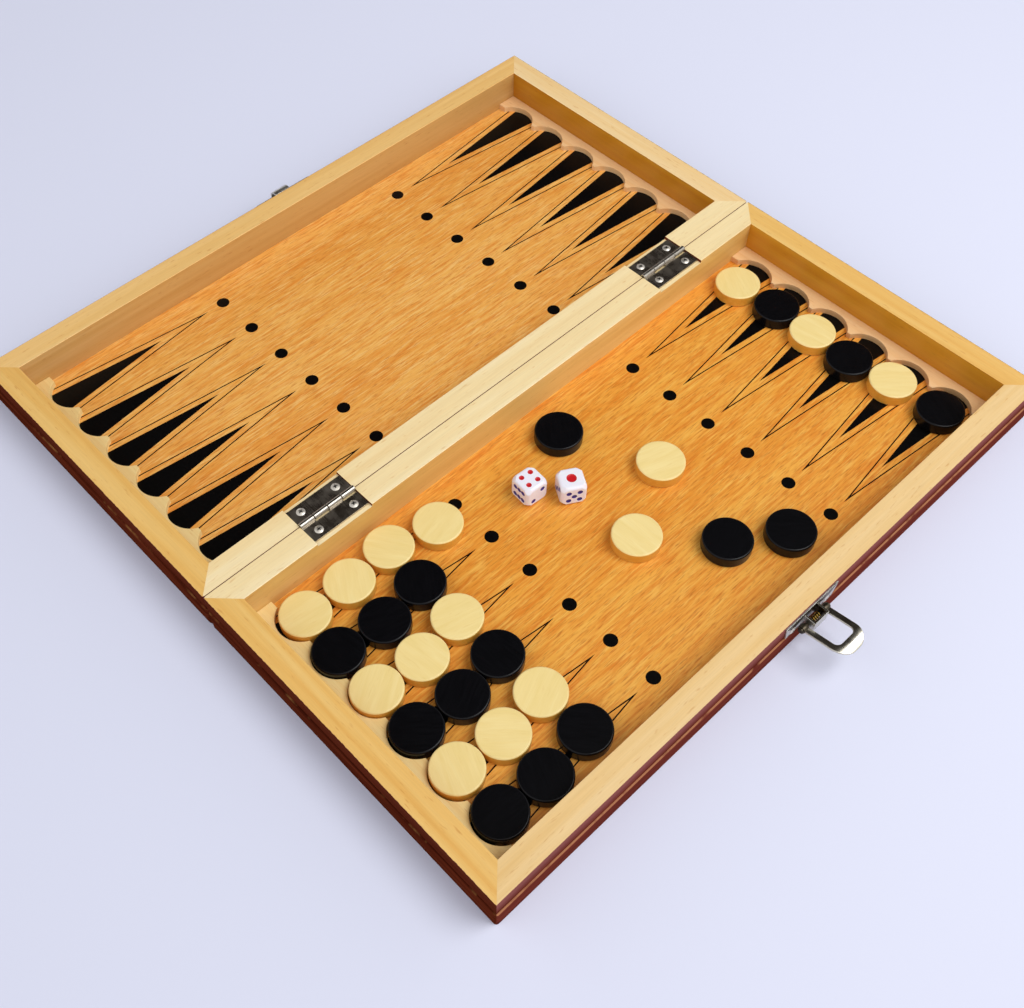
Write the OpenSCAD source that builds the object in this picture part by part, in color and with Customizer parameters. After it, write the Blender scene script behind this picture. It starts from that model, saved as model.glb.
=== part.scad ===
// Folding wooden games box: two shallow trays hinged edge to edge, shown open.
// The tray with the latch is at +X and holds the checkers and dice. Inside, the
// trays are a backgammon board; their undersides together are a chess board.
// Millimetres, Z up. The origin is the centre of the underside of the near tray.

/* [Case] */
// Length of the box along the fold line
case_len = 290; // [270:1:400]
// Height of one tray, rim to foot
half_h = 18.5; // [16:0.1:30]
// Width of a frame rail
rail_w = 9.9; // [9:0.1:14]
// Gap between the two trays at the fold line
seam = 0.3; // [0.2:0.05:0.6]
// Radius of the upright outer corners
corner_r = 1.8; // [1:0.1:3]

/* [Side moulding] */
// Height of the flat band under the rim
band_h = 8.2; // [6:0.1:9.5]
// Depth of the groove between band and bead
quirk_d = 0.7; // [0.3:0.1:1.2]
// Height of the upright face in the groove
quirk_h = 0.8; // [0.4:0.1:1.5]
// How far the bead stands out from the band
bead_out = 0.6; // [0.3:0.1:1]
// Rounding of the bead's upper shoulder
bead_r = 0.8; // [0.4:0.1:1.2]
// Rounding of the bead's foot
foot_r = 1; // [0.5:0.1:2]

/* [Panels and inlay] */
// Width of the rabbet under the rails that holds both panels
rabbet_w = 3; // [2:0.1:5]
// Thickness of the backgammon panel
play_t = 1.7; // [1.2:0.1:2.4]
// Thickness of the chess panel
board_t = 1.6; // [1:0.1:2.4]
// Clearance round a panel in its rabbet
panel_gap = 0.05; // [0.02:0.01:0.3]
// Thickness of the black print, flush with the panel
ink_t = 0.3; // [0.2:0.1:0.6]

/* [Backgammon print] */
// Bare margin beside the outer points
side_margin = 2.6; // [1:0.1:6]
// Length of an outline point, from the end wall
outline_len = 78.1; // [60:0.1:100]
// Length of a filled point, from the end wall
point_len = 54.4; // [40:0.1:80]
// Half width that a point gains per mm of length
point_taper = 0.1165; // [0.09:0.0005:0.12]
// Line width of the outline
line_w = 0.5; // [0.3:0.05:0.9]
// Distance of the dots from the end wall
dot_in = 85.9; // [80:0.1:110]
// Diameter of a dot
dot_d = 5.4; // [4:0.1:8]

/* [Chess print] */
// Margin beside the chess squares
chess_margin = 0.55; // [0.4:0.05:5]
// Pale line left between dark squares
square_line = 0.2; // [0.1:0.05:0.6]

/* [Scalloped strips] */
// Thickness of a strip
strip_h = 2.7; // [2:0.1:4]
// Width of a strip at its tips
strip_w = 9.3; // [6:0.1:9.6]
// Width of a strip at the bottom of a scallop
strip_min = 3.6; // [2:0.1:5]
// Clearance between a checker and its scallop
seat_gap = 0.6; // [0.2:0.1:0.7]

/* [Checkers and dice] */
// Diameter of a checker
checker_d = 19; // [16:0.1:19.2]
// Room between two checkers side by side
checker_room = 0.975; // [0.9:0.025:3]
// Room between two checkers one behind the other
row_room = 0.4; // [0.4:0.1:2]
// Thickness of a checker
checker_t = 5.2; // [4:0.1:7]
// Rounding of a checker's edges
checker_edge = 0.6; // [0.2:0.1:1]
// Side of a die
die_a = 10; // [8:0.1:11]
// Rounding of a die's edges
die_edge = 1.3; // [0.6:0.1:1.8]
// Radius of the sphere that rounds a die's corners
die_ball = 7.1; // [6.8:0.05:7.6]
// Depth of a pip
pip_depth = 0.35; // [0.1:0.05:0.6]
// Diameter of a pip
pip_d = 2.1; // [1.4:0.1:2.3]
// Diameter of the large single pip
pip_one_d = 3.9; // [2:0.1:5]
// Distance of a pip from the middle of its face
pip_step = 2.12; // [1.5:0.01:2.5]

/* [Hinges] */
// Distance of a hinge's middle from the end of the box
hinge_in = 54.8; // [30:0.1:100]
// Length of a hinge
hinge_len = 25; // [20:0.1:40]
// Width of a leaf, from the pin's axis
leaf_w = 8.4; // [7:0.1:9.2]
// Thickness of a leaf
leaf_t = 0.9; // [0.6:0.05:1]
// Radius of a knuckle
knuckle_r = 1.45; // [1.3:0.05:1.6]
// Radius of a hinge pin
hinge_pin_r = 0.7; // [0.5:0.05:0.8]
// Radial clearance of a pin in its knuckle or eye
running_gap = 0.05; // [0.02:0.01:0.1]
// Gap between two knuckles, and between a leaf and the other's knuckles
knuckle_gap = 0.3; // [0.2:0.05:0.5]
// Distance of a hinge screw from the pin's axis
hinge_screw_x = 5.2; // [4:0.1:6.4]
// Distance of a hinge screw from the middle of the hinge
hinge_screw_y = 8.05; // [5:0.05:10]

/* [Screws] */
// Diameter of a screw head
head_d = 3.4; // [2.6:0.1:3.8]
// Height of a screw's raised head
head_h = 0.5; // [0.2:0.05:0.5]
// Diameter of a screw's shank
shank_d = 1.7; // [1.4:0.1:2]
// Length of a screw
screw_len = 7; // [5:0.1:8.5]
// Clearance round a screw
screw_gap = 0.02; // [0.01:0.01:0.1]

/* [Latch] */
// Place of the latch along the side
latch_y = 3.5; // [-40:0.5:40]
// Thickness of the latch and strike plates
plate_t = 0.6; // [0.4:0.05:1]
// Half length of a plate at its upper edge
plate_top = 14.2; // [12:0.1:18]
// Half length of a plate at its lower edge
plate_foot = 12.6; // [11.5:0.1:14]
// Gap between a plate's lower edge and the bottom of the band
plate_foot_gap = 0.1; // [0:0.1:1]
// Distance of a plate's upper edge below the rim
plate_drop = 0.5; // [0.3:0.1:2]
// Distance of a plate's screws from its middle
plate_screw_y = 9.3; // [8.8:0.1:11]
// Distance of the plate screws and the ring's pivot below the rim
pivot_drop = 6.1; // [5.5:0.1:7]
// Distance of the ring's pivot from the side of the box
pivot_out = 2.6; // [2.6:0.05:3]
// Radius of the latch pin
latch_pin_r = 0.8; // [0.6:0.05:0.9]
// Radius of the latch pin's heads
pin_head_r = 1.15; // [1:0.05:1.4]
// Thickness of the latch pin's heads
pin_head_h = 0.5; // [0.3:0.1:0.8]
// Outer half width of the bracket that holds the pin
bracket_half = 3.8; // [3.7:0.1:4.3]
// Height of the bracket below the pivot
bracket_down = 1.9; // [1.2:0.1:2.1]
// Height of the bracket above the pivot
bracket_up = 3.4; // [1.4:0.1:3.8]
// Thickness of the bracket's walls
bracket_t = 0.7; // [0.5:0.05:0.9]
// Clearance between the spring and the bracket's front
spring_gap = 0.4; // [0.2:0.1:0.8]
// Thickness of the ring's sheet
ring_t = 0.9; // [0.7:0.05:1.1]
// Width of the ring's arms
arm_w = 2.4; // [2:0.1:2.6]
// Inner half width of the ring
ring_half = 4.7; // [4.5:0.1:5.5]
// Radius of the hole's corners
ring_r = 2; // [1.5:0.1:2.5]
// Radius of the eyes that turn on the pin
eye_r = 1.5; // [1.4:0.05:1.6]
// Width of the ring's end, from the hole to the tip
tip_w = 4.6; // [3.5:0.1:6]
// Radius of the tip's corners
tip_r = 4.8; // [3:0.1:5.5]
// Where the end starts to bend, before the hole's end
bend_in = 0.6; // [0:0.1:2]
// Radius of the end's bend
bend_r = 8; // [7:0.5:12]
// Gap between the closed ring's end and the top of the nose
clasp_gap = 0.3; // [0.2:0.05:1]
// Rise of the ring at rest, in degrees
ring_rise = 10; // [0:1:20]

/* [Latch spring and nose] */
// Wire diameter of the spring
wire_d = 0.45; // [0.4:0.05:0.5]
// Mean radius of the spring's coils
coil_r = 1.25; // [1.2:0.05:1.35]
// Distance from coil to coil
coil_pitch = 0.95; // [0.9:0.05:1.05]
// Turns of the spring
coil_turns = 4.5; // [3.5:1:4.5]
// Length of the spring's straight ends
leg_len = 1.6; // [1:0.1:1.8]
// Outer radius of the rolled nose that the ring clasps
nose_r = 3.2; // [2.8:0.1:3.6]
// Wall of the nose
nose_t = 0.8; // [0.6:0.05:1]
// Half width of the nose
nose_half = 3.7; // [3:0.1:3.7]
// Distance of the nose's axis from the side of the box
nose_out = 1.6; // [1.2:0.1:2]
// Gap between the nose and the level of the far rim
nose_rim_gap = 0.2; // [0.1:0.1:1]

/* [Hidden] */
$fn = 48;
eps = 0.01;
cut = 1;

points = 6;                                  // points across one tray
knuckles = 4;
pitch = checker_d + checker_room;
half_w = 2 * (rail_w + side_margin) + points * pitch;
half_x = seam / 2;                           // seam face of a tray, from the fold line
side_x = half_x + half_w;                    // outer side of a tray, from the fold line
fold_x = -(half_x + half_w / 2);             // fold line, from the origin
fold_z = half_h + half_x;                    // hinge axis: the rims close a seam apart
inner_w = half_w - 2 * rail_w;
inner_len = case_len - 2 * rail_w;
inner_x = half_x + rail_w;
wall_y = inner_len / 2;
hinge_y = case_len / 2 - hinge_in;
panel_z = board_t + play_t;                  // top of the playing panel
square = min(inner_w - 2 * chess_margin, inner_len / 2 - chess_margin) / 4;
seat_r = checker_d / 2 + seat_gap;
seat_y = wall_y - strip_min - seat_r;        // middle of a checker in its scallop
leaf_z = fold_z - knuckle_r - running_gap;   // bottom of the hinge mortise
pivot_z = half_h - pivot_drop;
nose_z = half_h - nose_rim_gap - nose_r;
// From the pivot up to the closed ring's end, over the nose of the closed far tray
ring_reach = 2 * fold_z - nose_z + nose_r - pivot_z + clasp_gap;
bracket_x = pivot_out + coil_r + wire_d / 2 + spring_gap;
pin_half = ring_half + arm_w + running_gap;
band_z = half_h - band_h;                    // bottom of the flat band

function point_x(i) = inner_x + side_margin + pitch * (i + 0.5);

// ---------- shared shapes ----------

module rounded_rect(w, l, r) {
    translate([r, 0]) square([w - 2 * r, l]);
    translate([0, r]) square([w, l - 2 * r]);
    for (x = [r, w - r], y = [r, l - r]) translate([x, y]) circle(r);
}

// Waste outside the moulded side: x runs inwards from the band, y is the height
module moulding_waste() {
    bead_top = band_z - quirk_h;
    shoulder = [for (a = [90:-15:0])
        [bead_r * (1 - cos(a)) - bead_out, bead_top - bead_r * (1 - sin(a))]];
    foot = [for (a = [0:-15:-90])
        [foot_r * (1 - cos(a)) - bead_out, foot_r * (1 + sin(a))]];
    polygon(concat(
        [[-bead_out - cut, half_h + cut], [0, half_h + cut], [0, band_z],
            [quirk_d, band_z - quirk_h / 2], [quirk_d, bead_top]],
        shoulder, foot,
        [[foot_r - bead_out, -cut], [-bead_out - cut, -cut]]));
}

// Raised countersunk screw, its rim at z = 0
module screw() {
    r = head_d / 2;
    ball = (pow(r, 2) + pow(head_h, 2)) / (2 * head_h);
    rim = asin(r / ball);
    dome = [for (i = [0:6]) let (a = rim * (1 - i / 6))
        [ball * sin(a), head_h - ball + ball * cos(a)]];
    rotate_extrude($fn = 32)
        polygon(concat([[0, -screw_len], [shank_d / 2, -screw_len],
            [shank_d / 2, -(head_d - shank_d) / 2]], dome));
}

// What a screw's hole takes away
module screw_hole() {
    bore = shank_d / 2 + screw_gap;
    mouth = head_d / 2 + screw_gap;
    rotate_extrude($fn = 32)
        polygon([[0, -screw_len - screw_gap], [bore, -screw_len - screw_gap],
            [bore, bore - mouth], [mouth, 0], [mouth, cut], [0, cut]]);
}

module at_hinge_screws(y) {
    for (s = [-1, 1])
        translate([hinge_screw_x, y + s * hinge_screw_y, leaf_z + leaf_t]) children();
}

module at_plate_screws() {
    for (s = [-1, 1])
        translate([side_x + plate_t, latch_y + s * plate_screw_y, pivot_z])
            rotate([0, 90, 0]) children();
}

// ---------- one tray, drawn on the +X side of the fold line ----------

module frame_ring() {
    difference() {
        translate([half_x, -case_len / 2 - bead_out, 0]) linear_extrude(half_h)
            rounded_rect(half_w + bead_out, case_len + 2 * bead_out, corner_r);
        translate([inner_x, -wall_y, -cut]) cube([inner_w, inner_len, half_h + 2 * cut]);
        translate([inner_x - rabbet_w, -wall_y - rabbet_w, -cut])
            cube([inner_w + 2 * rabbet_w, inner_len + 2 * rabbet_w, panel_z + cut]);
        for (s = [-1, 1])
            translate([-cut, s * case_len / 2, 0]) mirror([0, s > 0 ? 1 : 0, 0])
                rotate([90, 0, 90]) linear_extrude(side_x + 3 * cut) moulding_waste();
        translate([side_x, case_len / 2 + 2 * cut, 0])
            rotate([90, 0, 0]) linear_extrude(case_len + 4 * cut)
                mirror([1, 0]) moulding_waste();
    }
}

// Mitred shares of the frame: rail 0 at the fold, 1 at the outer side, 2 left, 3 right
module rail_share(rail) {
    x0 = half_x - cut;
    x1 = inner_x;
    x2 = side_x - rail_w;
    x3 = side_x + cut;
    y0 = case_len / 2 + cut;
    plan = [
        [[x0, -y0], [x1, -wall_y], [x1, wall_y], [x0, y0]],
        [[x3, -y0], [x2, -wall_y], [x2, wall_y], [x3, y0]],
        [[x0, -y0], [x1, -wall_y], [x2, -wall_y], [x3, -y0]],
        [[x0, y0], [x1, wall_y], [x2, wall_y], [x3, y0]]
    ];
    intersection() {
        frame_ring();
        translate([0, 0, -cut]) linear_extrude(half_h + 2 * cut) polygon(plan[rail]);
    }
}

module hinge_rail() {
    difference() {
        rail_share(0);
        for (s = [-1, 1]) {
            translate([-cut, s * hinge_y - hinge_len / 2 - running_gap, leaf_z])
                cube([rail_w + 3 * cut, hinge_len + 2 * running_gap, half_h]);
            at_hinge_screws(s * hinge_y) screw_hole();
        }
    }
}

module outer_rail() {
    difference() {
        rail_share(1);
        at_plate_screws() screw_hole();
    }
}

module panel_blank(z, t) {
    grow = rabbet_w - panel_gap;
    translate([inner_x - grow, -wall_y - grow, z])
        cube([inner_w + 2 * grow, inner_len + 2 * grow, t]);
}

// A point's triangle, its apex len from the end wall
module point_triangle(len) {
    half = point_taper * len;
    polygon([[-half, 0], [half, 0], [0, len]]);
}

module points_2d() {
    for (i = [0:points - 1], s = [-1, 1]) {
        translate([point_x(i), s * wall_y]) mirror([0, s > 0 ? 1 : 0]) {
            point_triangle(point_len);
            difference() {
                point_triangle(outline_len);
                translate([0, -eps]) point_triangle(outline_len - line_w / point_taper);
            }
        }
        translate([point_x(i), s * (wall_y - dot_in)]) circle(d = dot_d);
    }
}

module squares_2d() {
    x0 = inner_x + inner_w / 2 - 2 * square;
    a = square - square_line;
    for (i = [0:3], j = [0:7])
        if ((i + j) % 2 == 0)
            translate([x0 + i * square + square_line / 2, (j - 4) * square + square_line / 2])
                square(a);
}

module playing_panel() {
    difference() {
        panel_blank(board_t, play_t);
        translate([0, 0, panel_z - ink_t]) linear_extrude(ink_t + cut) points_2d();
    }
}

module printed_points() {
    translate([0, 0, panel_z - ink_t]) linear_extrude(ink_t) points_2d();
}

module chess_panel() {
    difference() {
        panel_blank(0, board_t);
        translate([0, 0, -cut]) linear_extrude(ink_t + cut) squares_2d();
    }
}

module dark_squares() {
    linear_extrude(ink_t) squares_2d();
}

// Strip against the end wall, with a scallop for a checker at each point
module scallop(s) {
    translate([0, s * wall_y, panel_z]) mirror([0, s > 0 ? 1 : 0, 0])
        linear_extrude(strip_h) difference() {
            translate([inner_x, 0]) square([inner_w, strip_w]);
            for (i = [0:points - 1])
                translate([point_x(i), strip_min + seat_r]) circle(seat_r, $fn = 96);
        }
}

// ---------- hinges, drawn at the fold line with the leaf towards +X ----------

module hinge_leaf() {
    knuckle_len = (hinge_len - (knuckles - 1) * knuckle_gap) / knuckles;
    leaf_x = knuckle_r + knuckle_gap;
    difference() {
        union() {
            translate([leaf_x, -hinge_len / 2, leaf_z])
                cube([leaf_w - leaf_x, hinge_len, leaf_t]);
            for (k = [0:2:knuckles - 1])
                translate([0, -hinge_len / 2 + k * (knuckle_len + knuckle_gap), 0]) {
                    translate([0, 0, leaf_z + running_gap])
                        cube([leaf_x + eps, knuckle_len, leaf_t - running_gap]);
                    translate([0, 0, fold_z]) rotate([-90, 0, 0])
                        cylinder(r = knuckle_r, h = knuckle_len);
                }
        }
        translate([0, -hinge_len, fold_z]) rotate([-90, 0, 0])
            cylinder(r = hinge_pin_r + running_gap, h = 2 * hinge_len);
        at_hinge_screws(0) screw_hole();
    }
}

module hinge_pin() {
    translate([0, -hinge_len / 2, fold_z]) rotate([-90, 0, 0])
        cylinder(r = hinge_pin_r, h = hinge_len);
}

module hinge_screws() {
    for (s = [-1, 1]) at_hinge_screws(s * hinge_y) screw();
}

// ---------- latch ----------

module plate() {
    top = half_h - plate_drop;
    foot = band_z + plate_foot_gap;
    difference() {
        translate([side_x, latch_y, 0]) rotate([90, 0, 90]) linear_extrude(plate_t)
            polygon([[-plate_top, top], [-plate_foot, foot],
                [plate_foot, foot], [plate_top, top]]);
        at_plate_screws() screw_hole();
    }
}

module latch_plate() {
    plate();
    difference() {
        translate([side_x + plate_t - eps, latch_y - bracket_half, pivot_z - bracket_down])
            cube([bracket_x + bracket_t - plate_t + eps, 2 * bracket_half,
                bracket_down + bracket_up]);
        translate([side_x + plate_t, latch_y - bracket_half + bracket_t, 0])
            cube([bracket_x - plate_t, 2 * (bracket_half - bracket_t), 2 * half_h]);
        translate([side_x + pivot_out, latch_y, pivot_z]) rotate([90, 0, 0])
            cylinder(r = latch_pin_r + screw_gap, h = 3 * bracket_half, center = true);
    }
}

module latch_pin() {
    translate([side_x + pivot_out, latch_y, pivot_z]) rotate([90, 0, 0]) {
        cylinder(r = latch_pin_r, h = 2 * (pin_half + eps), center = true);
        for (s = [-1, 1])
            translate([0, 0, s * (pin_half + pin_head_h / 2)])
                cylinder(r = pin_head_r, h = pin_head_h, center = true);
    }
}

// Coil with two straight ends, round the latch pin: points along the wire
function coil_path() = let (n = 8, len = coil_pitch * coil_turns) concat(
    [[coil_r, -len / 2, -leg_len], [coil_r, -len / 2, -leg_len / 2]],
    [for (i = [0:n * coil_turns]) let (a = 360 * i / n)
        [coil_r * cos(a), -len / 2 + coil_pitch * i / n, coil_r * sin(a)]],
    [[-coil_r, len / 2, -leg_len / 2], [-coil_r, len / 2, -leg_len]]);

module wire(path, r, sides) {
    n = len(path);
    ring = [for (i = [0:n - 1])
        let (t = path[min(i + 1, n - 1)] - path[max(i - 1, 0)],
            d = t / norm(t),
            u0 = cross(d, [0, 1, 0.001]),
            u = u0 / norm(u0),
            v = cross(u, d))
        each [for (k = [0:sides - 1]) path[i] + r * (cos(360 * k / sides) * u
            + sin(360 * k / sides) * v)]];
    faces = concat(
        [[for (k = [0:sides - 1]) k]],
        [for (i = [0:n - 2], k = [0:sides - 1]) let (a = i * sides + k,
            b = i * sides + (k + 1) % sides) each [[a, a + sides, b + sides], [a, b + sides, b]]],
        [[for (k = [sides - 1:-1:0]) (n - 1) * sides + k]]);
    polyhedron(ring, faces);
}

module latch_spring() {
    path = coil_path();
    gaps = [for (i = [0:len(path) - 1], j = [i + 7:1:len(path) - 1])
        norm(path[i] - path[j]) - wire_d];
    echo(least_gap_in_spring = min(gaps));
    translate([side_x + pivot_out, latch_y, pivot_z]) wire(path, wire_d / 2, 6);
}

// The ring's sheet from the side: flat arms, then an end bent down
module ring_profile() {
    x = ring_reach - bend_in;
    translate([0, -ring_t / 2]) square([x + eps, ring_t]);
    intersection() {
        translate([x, -bend_r]) difference() {
            circle(bend_r + ring_t / 2, $fn = 144);
            circle(bend_r - ring_t / 2, $fn = 144);
        }
        translate([x, -bend_r]) square(2 * bend_r);
    }
}

// The ring from above; the hole's end lies ring_reach from the pivot
module ring_outline() {
    outer = ring_half + arm_w;
    tip = ring_reach + tip_w;
    difference() {
        union() {
            translate([0, -outer]) square([tip - tip_r, 2 * outer]);
            translate([tip - 3 * tip_r, -outer]) rounded_rect(3 * tip_r, 2 * outer, tip_r);
        }
        translate([-cut, -ring_half]) square([ring_reach / 2 + cut, 2 * ring_half]);
        translate([ring_r, -ring_half])
            rounded_rect(ring_reach - ring_r, 2 * ring_half, ring_r);
    }
}

module latch_ring() {
    outer = ring_half + arm_w;
    translate([side_x + pivot_out, latch_y, pivot_z]) rotate([0, -ring_rise, 0])
        difference() {
            union() {
                intersection() {
                    translate([0, 0, -bend_r]) linear_extrude(2 * bend_r) ring_outline();
                    rotate([90, 0, 0]) linear_extrude(2 * outer + cut, center = true)
                        ring_profile();
                }
                for (s = [-1, 1]) translate([0, s * (outer - arm_w / 2), 0]) rotate([90, 0, 0])
                    cylinder(r = eye_r, h = arm_w, center = true);
            }
            rotate([90, 0, 0])
                cylinder(r = latch_pin_r + running_gap, h = 3 * outer, center = true);
        }
}

module strike_plate() {
    plate();
    translate([side_x + nose_out, latch_y, nose_z]) rotate([90, 0, 0])
        linear_extrude(2 * nose_half, center = true) intersection() {
            difference() {
                circle(nose_r, $fn = 72);
                circle(nose_r - nose_t, $fn = 72);
            }
            translate([plate_t - nose_out - eps, -nose_r]) square(2 * nose_r);
        }
}

module plate_screws() {
    at_plate_screws() screw();
}

// ---------- pieces ----------

module checker(x, y) {
    r = checker_d / 2;
    e = checker_edge;
    arc = [for (a = [0:30:90]) [r - e + e * sin(a), e - e * cos(a)]];
    translate([x, y, panel_z]) rotate_extrude($fn = 64)
        polygon(concat([[0, 0]], arc,
            [for (p = [3:-1:0]) [arc[p][0], checker_t - arc[p][1]]], [[0, checker_t]]));
}

// Pips of one face, as distances from its middle in pip steps
function pips(n) = concat(
    n % 2 == 1 ? [[0, 0]] : [],
    n > 1 ? [[-1, 1], [1, -1]] : [],
    n > 3 ? [[-1, -1], [1, 1]] : [],
    n > 5 ? [[0, -1], [0, 1]] : []);

module die_prism(turn) {
    rotate(turn) translate([-die_a / 2, -die_a / 2, -die_a / 2])
        linear_extrude(die_a) rounded_rect(die_a, die_a, die_edge);
}

// A die with top up, front towards -Y and side towards +X, turned by yaw
module die(place, yaw, top, front, side) {
    faces = [
        [top, [0, 0, 0]], [7 - top, [180, 0, 0]], [front, [90, 0, 0]],
        [7 - front, [-90, 0, 0]], [side, [0, 90, 0]], [7 - side, [0, -90, 0]]
    ];
    translate([point_x(place[0]), place[1] * pitch, panel_z + die_a / 2])
        rotate([0, 0, yaw]) difference() {
        intersection() {
            die_prism([0, 0, 0]);
            die_prism([90, 0, 0]);
            die_prism([0, 90, 0]);
            sphere(die_ball, $fn = 64);
        }
        for (f = faces, p = pips(f[0]))
            rotate(f[1]) translate([pip_step * p[0], pip_step * p[1], die_a / 2 - pip_depth])
                cylinder(d = f[0] == 1 ? pip_one_d : pip_d, h = cut, $fn = 24);
    }
}

// ---------- where the pieces lie ----------

// Checkers on the left points, from the fold outwards: shift of each from its row
stack_shift = [
    [[0.8, 0.6], [1, 1], [-0.3, 1.3], [4.3, 1.8]],
    [[0.1, -0.3], [1.8, -0.3], [-1.2, -0.5]],
    [[0.1, -0.3], [1.6, -0.5], [-1.8, -0.5]],
    [[0, 0], [1.4, -0.1], [-1.5, -0.4]],
    [[-0.4, 0], [1.1, -0.1], [-1.1, 0]],
    [[-0.2, 0], [0.8, -0.2], [-1.5, 1.1]]
];
// Single checkers at the right end: shift from the point, and out of the scallop
right_shift = [[0.7, 8.1], [0.5, 6.6], [-0.2, 7.4], [-0.9, 8.4], [-1.7, 5.5], [0, 4.3]];
// Loose checkers: points from the first one outwards, and pitches along the fold line
loose_place = [[0.23, 0.07], [2.08, 0.95], [2.91, -0.63], [4.11, 0.5], [4.78, 1.49]];
die_four_place = [0.79, -1.29];
die_one_place = [1.32, -0.72];

module stack(i) {
    for (k = [0:len(stack_shift[i]) - 1])
        checker(point_x(i) + stack_shift[i][k][0],
            -seat_y + k * (checker_d + row_room) + stack_shift[i][k][1]);
}

module right_checker(i) {
    checker(point_x(i) + right_shift[i][0], seat_y - right_shift[i][1]);
}

module loose_checker(i) {
    checker(point_x(loose_place[i][0]), loose_place[i][1] * pitch);
}

// ---------- placing ----------

module near() {
    translate([fold_x, 0, 0]) children();
}

module far() {
    translate([fold_x, 0, 0]) mirror([1, 0, 0]) children();
}

module hinge_near(s) {
    translate([fold_x, s * hinge_y, 0]) children();
}

// The far leaf is the near one turned half round, so that their knuckles interleave
module hinge_far(s) {
    translate([fold_x, s * hinge_y, 0]) rotate([0, 0, 180]) children();
}

color("wheat") near() hinge_rail();  // near_hinge_rail
color("wheat") near() outer_rail();  // near_latch_rail
color("burlywood") near() rail_share(2);  // near_left_rail
color("burlywood") near() rail_share(3);  // near_right_rail
color("sandybrown") near() playing_panel();  // near_playing_panel
color("black") near() printed_points();  // near_printed_points
color("navajowhite") near() scallop(-1);  // near_left_scallop
color("navajowhite") near() scallop(1);  // near_right_scallop
color("moccasin") near() chess_panel();  // near_chess_panel
color("saddlebrown") near() dark_squares();  // near_dark_squares
color("wheat") far() hinge_rail();  // far_hinge_rail
color("wheat") far() outer_rail();  // far_strike_rail
color("burlywood") far() rail_share(2);  // far_left_rail
color("burlywood") far() rail_share(3);  // far_right_rail
color("sandybrown") far() playing_panel();  // far_playing_panel
color("black") far() printed_points();  // far_printed_points
color("navajowhite") far() scallop(-1);  // far_left_scallop
color("navajowhite") far() scallop(1);  // far_right_scallop
color("moccasin") far() chess_panel();  // far_chess_panel
color("saddlebrown") far() dark_squares();  // far_dark_squares
color("silver") hinge_near(-1) hinge_leaf();  // left_hinge_near_leaf
color("silver") hinge_far(-1) hinge_leaf();  // left_hinge_far_leaf
color("gray") hinge_near(-1) hinge_pin();  // left_hinge_pin
color("silver") hinge_near(1) hinge_leaf();  // right_hinge_near_leaf
color("silver") hinge_far(1) hinge_leaf();  // right_hinge_far_leaf
color("gray") hinge_near(1) hinge_pin();  // right_hinge_pin
color("lightgray") near() hinge_screws();  // near_hinge_screws
color("lightgray") far() hinge_screws();  // far_hinge_screws
color("silver") near() latch_plate();
color("gray") near() latch_pin();
color("goldenrod") near() latch_spring();
color("silver") near() latch_ring();
color("lightgray") near() plate_screws();  // latch_screws
color("silver") far() strike_plate();
color("lightgray") far() plate_screws();  // strike_screws
color("palegoldenrod") near() stack(0);  // stack_1
color("dimgray") near() stack(1);  // stack_2
color("palegoldenrod") near() stack(2);  // stack_3
color("dimgray") near() stack(3);  // stack_4
color("palegoldenrod") near() stack(4);  // stack_5
color("dimgray") near() stack(5);  // stack_6
color("palegoldenrod") near() right_checker(0);  // checker_right_1
color("dimgray") near() right_checker(1);  // checker_right_2
color("palegoldenrod") near() right_checker(2);  // checker_right_3
color("dimgray") near() right_checker(3);  // checker_right_4
color("palegoldenrod") near() right_checker(4);  // checker_right_5
color("dimgray") near() right_checker(5);  // checker_right_6
color("dimgray") near() loose_checker(0);  // checker_loose_1
color("palegoldenrod") near() loose_checker(1);  // checker_loose_2
color("palegoldenrod") near() loose_checker(2);  // checker_loose_3
color("dimgray") near() loose_checker(3);  // checker_loose_4
color("dimgray") near() loose_checker(4);  // checker_loose_5
color("white") near() die(die_four_place, -4.3, 4, 6, 2);  // die_four
color("white") near() die(die_one_place, 59.5, 1, 5, 4);  // die_one
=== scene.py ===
# Folding wooden games box, lying open with its checkers and dice.
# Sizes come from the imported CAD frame; this script gives the looks.
import math

import bmesh
import bpy
from mathutils import Euler, Matrix, Vector


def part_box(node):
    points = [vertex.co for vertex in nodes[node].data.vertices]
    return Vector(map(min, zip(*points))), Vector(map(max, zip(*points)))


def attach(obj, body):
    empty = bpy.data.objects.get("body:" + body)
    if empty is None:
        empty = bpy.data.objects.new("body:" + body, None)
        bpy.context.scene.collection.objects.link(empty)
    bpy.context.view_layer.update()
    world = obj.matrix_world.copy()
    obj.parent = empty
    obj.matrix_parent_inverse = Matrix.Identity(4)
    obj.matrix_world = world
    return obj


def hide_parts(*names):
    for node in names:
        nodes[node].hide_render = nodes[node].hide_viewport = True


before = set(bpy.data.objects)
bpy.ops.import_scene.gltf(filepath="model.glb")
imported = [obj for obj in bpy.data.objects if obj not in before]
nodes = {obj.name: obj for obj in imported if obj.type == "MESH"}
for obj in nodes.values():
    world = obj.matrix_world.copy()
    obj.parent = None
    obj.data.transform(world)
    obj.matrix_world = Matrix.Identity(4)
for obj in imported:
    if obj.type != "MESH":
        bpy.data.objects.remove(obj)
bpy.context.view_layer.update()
mm = 0.001
grainHeight = 0.03 * mm  # how far raised grain stands up
print("frame loaded:", len(nodes), "nodes")


# helpers

def linear(hexColour):
    parts = [int(hexColour[i:i + 2], 16) / 255 for i in (1, 3, 5)]
    parts = [c / 12.92 if c <= 0.04045 else ((c + 0.055) / 1.055) ** 2.4 for c in parts]
    return (*parts, 1)


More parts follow.
